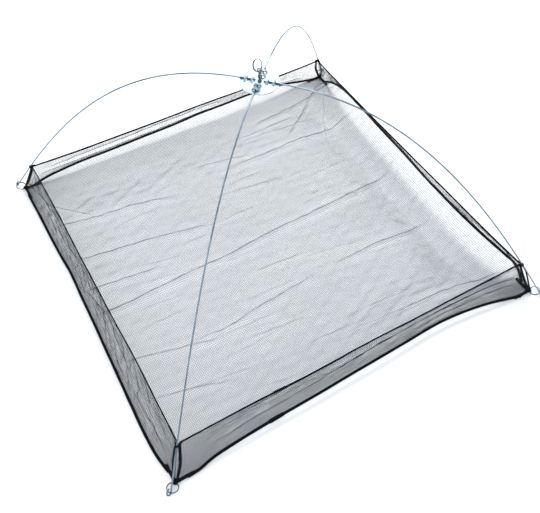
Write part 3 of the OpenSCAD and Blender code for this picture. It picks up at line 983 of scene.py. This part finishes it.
def make_rim_loop(corner, degrees):
    """A turn and a half of tape round the rib, sewn to the rim's corner."""
    z = rim_height - 4 * MM
    out = rib_at(z)
    slope = np.array([math.cos(rib_foot_slope), 0, -math.sin(rib_foot_slope)])
    normal = np.array([math.sin(rib_foot_slope), 0, math.cos(rib_foot_slope)])
    aside = np.array([0.0, 1.0, 0.0])
    sweep = Sweep()
    a = np.linspace(-0.15 * math.pi, 2.2 * math.pi, 44)[:, None]
    radius = rib_wire / 2 + 1.1 * MM + 0.35 * MM * a / math.pi
    slide = (a / math.pi - 1) * 1.6 * MM
    wrap = (np.array([out, 0, z]) + radius * (np.cos(a) * -normal + np.sin(a) * aside) + slide * slope)
    sweep.add(turned(wrap, degrees), tape_section(5.5 * MM, 1.0 * MM, 10, 0.5),
              turned(np.cross(slope, np.gradient(wrap, axis=0)), degrees))
    tail = strip_path([[out - 2.2 * MM, 0, z - 1 * MM], [wall_out(z) - 2.5 * MM, 0, z + 0.5 * MM],
                       [wall_out(z) - 7 * MM, 0, z - 1 * MM]], 12)
    sweep.add(turned(tail, degrees), tape_section(5.2 * MM, 1.4 * MM, 10, 0.5), (0, 0, 1), along0=0.3)
    loop = sweep.build("rim_tie_" + corner)
    finish_piece(loop, CORNER_TAPE, "hem_tape", "rim_loop_" + corner)
    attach(loop, "rib_" + corner)


def make_corner_tab(corner, degrees):
    """The hems' crossing at the floor's corner, and the loop of tape that holds the split ring."""
    sweep = Sweep()
    reach = half_net * math.sqrt(2)
    for hand in (-1, 1):
        side_dir = np.array([-1.0, hand, 0]) / math.sqrt(2)
        start = np.array([reach - 8 * MM, -hand * 1.2 * MM, floor_hem_height / 2 + 0.4 * MM])
        path = [start + side_dir * s * MM + np.array([0, 0, 0.5 * MM * math.sin(s)])
                for s in np.linspace(0, 46, 30)]
        shape = hem_section(7.4 * MM, 5.4 * MM)
        sweep.add(turned(path, degrees), shape, (0, 0, 1), along0=0.1 * (hand + 1))
    ring_in = ring_out - ring_radius * math.cos(ring_tilt)
    ring_in_z = ring_up - ring_radius * math.sin(ring_tilt)
    a = np.linspace(-0.9 * math.pi, 0.9 * math.pi, 30)[:, None]
    middle = np.array([ring_in + 0.3 * MM, 0, ring_in_z + 0.2 * MM])
    loop = middle + 3.4 * MM * (np.cos(a) * np.array([1.0, 0, 0]) + np.sin(a) * np.array([0, 0, 1.0]))
    first = loop[0] + np.array([-6, 0, 0.6]) * MM
    last = loop[-1] + np.array([-6, 0, -0.6]) * MM
    loop = np.concatenate([[first], loop, [last]])
    sweep.add(turned(loop, degrees), tape_section(8.5 * MM, 1.2 * MM, 10, 0.5),
              turned(np.cross(np.array([0, 1.0, 0]), np.gradient(loop, axis=0)), degrees), along0=0.4)
    tab = sweep.build("corner_binding_low_" + corner)
    finish_piece(tab, FLOOR_TAPE, "hem_tape", "corner_tab_" + corner)
    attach(tab, "rib_" + corner)


# ---- make everything ----

for corner, degrees in CORNERS.items():
    make_rib(corner, degrees)
    make_corner_ring(corner, degrees)
    make_rim_loop(corner, degrees)
    make_corner_tapes(corner, degrees)
    make_corner_tab(corner, degrees)

for side in SIDES:
    floor_hem = make_floor_hem(side)
    rim_hem = make_rim_hem(side)
    make_floor_net(side)
    wall = make_wall_net(side)

make_lift_eye()
make_lift_ring()

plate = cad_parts["hub_plate"]
plate.data.materials.clear()
plate.data.materials.append(PLATE)

# ---- floor, light and camera ----


def make_ground():
    m = Material("pale_floor", Roughness=0.9, Specular_IOR_Level=0.1)
    m.colour(m.ramp(m.noise(3.0, 2.0), (0.3, (0.9, 0.9, 0.9)), (0.7, (0.92, 0.92, 0.92))))
    size = 8.0
    ground = add_mesh("ground", [(-size, -size, 0), (size, -size, 0), (size, size, 0), (-size, size, 0)],
                      [(0, 1, 2, 3)], flat=True)
    ground.data.materials.append(m.material)
    ground.location.z = -0.2 * MM


def make_light(name, place_at, size, power, colour):
    light = bpy.data.lights.new(name, "AREA")
    light.shape = "DISK"
    light.size = size
    light.energy = power
    light.color = colour
    lamp = bpy.data.objects.new(name, light)
    lamp.location = place_at
    lamp.rotation_euler = (-Vector(place_at)).to_track_quat("-Z", "Y").to_euler()
    bpy.context.scene.collection.objects.link(lamp)


def make_camera():
    azimuth, elevation, roll = math.radians(-29.68), math.radians(52.03), math.radians(-0.39)
    distance = 1.7455
    target = Vector((-0.0543, -0.1338, 0.1))
    back = Vector((math.sin(azimuth) * math.cos(elevation), -math.cos(azimuth) * math.cos(elevation),
                   math.sin(elevation)))
    data = bpy.data.cameras.new("camera")
    data.sensor_width = 36.0
    data.lens = 48.12
    data.clip_start = 0.01
    camera = bpy.data.objects.new("camera", data)
    look = back.to_track_quat("Z", "Y").to_matrix().to_4x4()
    camera.matrix_world = Matrix.Translation(target + back * distance) @ look @ Matrix.Rotation(roll, 4, "Z")
    bpy.context.scene.collection.objects.link(camera)
    bpy.context.scene.camera = camera


def make_world():
    """Soft light all round: bright overhead and greyer towards the horizon, which draws the wires' edges."""
    world = bpy.data.worlds.new("studio")
    world.use_nodes = True
    nodes, links = world.node_tree.nodes, world.node_tree.links
    split = nodes.new("ShaderNodeSeparateXYZ")
    links.new(nodes.new("ShaderNodeTexCoord").outputs["Generated"], split.inputs["Vector"])
    ramp = nodes.new("ShaderNodeValToRGB")
    links.new(split.outputs["Z"], ramp.inputs["Fac"])
    ramp.color_ramp.elements[0].position = 0.0
    ramp.color_ramp.elements[0].color = (0.58, 0.63, 0.69, 1.0)
    ramp.color_ramp.elements[1].position = 0.6
    ramp.color_ramp.elements[1].color = (0.92, 0.96, 1.0, 1.0)
    links.new(ramp.outputs["Color"], nodes["Background"].inputs["Color"])
    nodes["Background"].inputs["Strength"].default_value = 1.1
    bpy.context.scene.world = world


make_ground()
make_light("key", (1.4, 1.6, 2.4), 1.2, 68, (1.0, 0.985, 0.96))
make_light("fill", (-2.0, -1.2, 2.2), 2.4, 30, (0.9, 0.95, 1.0))
make_world()
bpy.context.scene.view_settings.view_transform = "Standard"
make_camera()
